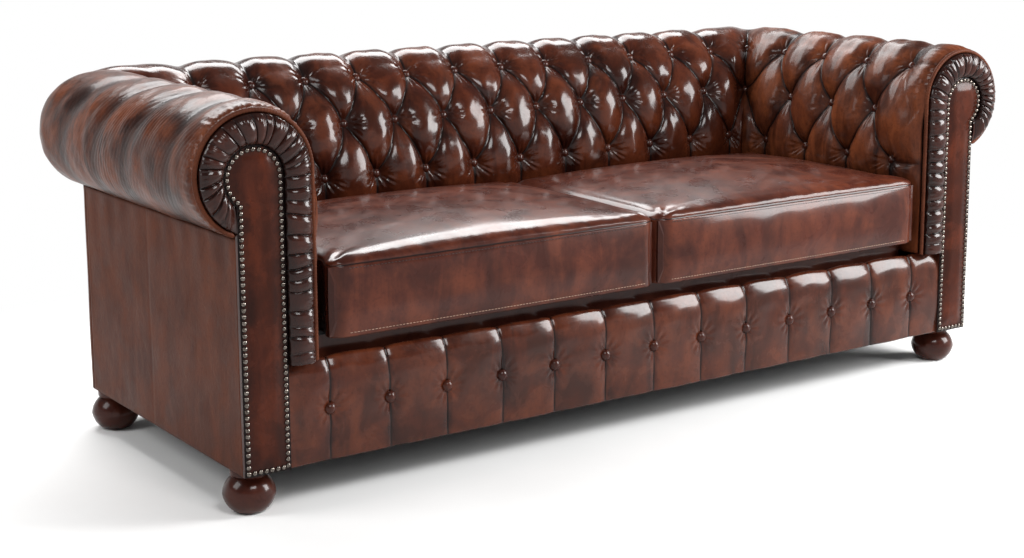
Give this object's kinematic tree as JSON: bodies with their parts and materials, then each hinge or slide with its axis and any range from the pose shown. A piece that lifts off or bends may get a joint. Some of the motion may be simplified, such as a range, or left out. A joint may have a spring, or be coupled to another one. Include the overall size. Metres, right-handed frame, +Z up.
{
  "type": "chesterfield sofa",
  "caption": "Low-backed sofa with deep-buttoned rolled arms and back, loose seat cushions, pleated front rail, nailed arm fronts and turned bun feet.",
  "frame": {"origin": "middle of the bounding box at floor level", "axes": "+X to the sitter's left, seen from the front to the right; -Y to the front, where a sitter faces; +Z up"},
  "size_m": [2.0006, 0.8401, 0.7412],
  "materials": {
    "leather": "glossy hand-rubbed chestnut leather with darker mottling",
    "outside_leather": "semi-gloss chestnut leather, plain panels",
    "facing_leather": "glossy hand-rubbed chestnut leather",
    "button_leather": "leather covered buttons, polished",
    "nail_brass": "antique dark bronze, domed",
    "frame_timber": "planed hardwood",
    "panel_board": "hardboard",
    "foam": "upholstery foam with wadding",
    "black_cloth": "black platform and dust cloth",
    "spring_steel": "steel, plain",
    "zip_tape": "dark woven tape",
    "zip_metal": "aged",
    "foot_wood": "dark red-brown stain under gloss lacquer",
    "glide_plastic": "matt black"
  },
  "bodies": {
    "sofa_frame": {"arm_buttons_left": "button_leather", "arm_buttons_right": "button_leather", "arm_inner_panels": "panel_board", "arm_outer_boards": "panel_board", "arm_pad_left": "foam", "arm_pad_right": "foam", "arm_top_rails": "frame_timber", "back_buttons": "button_leather", "back_inner_panel": "panel_board", "back_outer_board": "panel_board", "back_pad": "foam", "back_stiles": "frame_timber", "back_top_rail": "frame_timber", "corner_blocks": "frame_timber", "cross_braces": "frame_timber", "deck_cloth": "black_cloth", "deck_pad": "foam", "dust_cover": "black_cloth", "facing_board_left": "frame_timber", "facing_board_right": "frame_timber", "facing_border_left": "leather", "facing_border_right": "leather", "facing_leather_left": "facing_leather", "facing_leather_right": "facing_leather", "facing_nails_left": "nail_brass", "facing_nails_right": "nail_brass", "facing_piping_left": "leather", "facing_piping_right": "leather", "foot_front_left": "foot_wood", "foot_front_right": "foot_wood", "foot_glides": "glide_plastic", "foot_rear_left": "foot_wood", "foot_rear_right": "foot_wood", "front_posts": "frame_timber", "front_rail_cover": "leather", "front_rail_pad": "foam", "front_seat_rail": "frame_timber", "hanger_bolts": "spring_steel", "inside_arm_cover_left": "leather", "inside_arm_cover_right": "leather", "inside_back_cover": "leather", "outside_arm_panel_left": "outside_leather", "outside_arm_panel_right": "outside_leather", "outside_back_panel": "outside_leather", "rail_buttons": "button_leather", "rear_posts": "frame_timber", "rear_seat_rail": "frame_timber", "scroll_board_left": "frame_timber", "scroll_board_right": "frame_timber", "seat_springs": "spring_steel", "side_rails": "frame_timber", "spring_clips": "spring_steel"},
    "seat_cushion_left": {"cushion_core_left": "foam", "cushion_cover_left": "leather", "zip_tape_left": "zip_tape"},
    "seat_cushion_right": {"cushion_core_right": "foam", "cushion_cover_right": "leather", "zip_tape_right": "zip_tape"},
    "slider_left": {"zip_slider_left": "zip_metal"},
    "slider_right": {"zip_slider_right": "zip_metal"}
  },
  "joints": [
    {"name": "cushion_lift_left", "type": "slide", "parent": "sofa_frame", "child": "seat_cushion_left", "axis": [0, 0, 1], "range_m": [0, 0.5]},
    {"name": "cushion_lift_right", "type": "slide", "parent": "sofa_frame", "child": "seat_cushion_right", "axis": [0, 0, 1], "range_m": [0, 0.5]},
    {"name": "zip_left", "type": "slide", "parent": "seat_cushion_left", "child": "slider_left", "axis": [1, 0, 0], "range_m": [0, 0.486]},
    {"name": "zip_right", "type": "slide", "parent": "seat_cushion_right", "child": "slider_right", "axis": [-1, 0, 0], "range_m": [0, 0.486]}
  ]
}
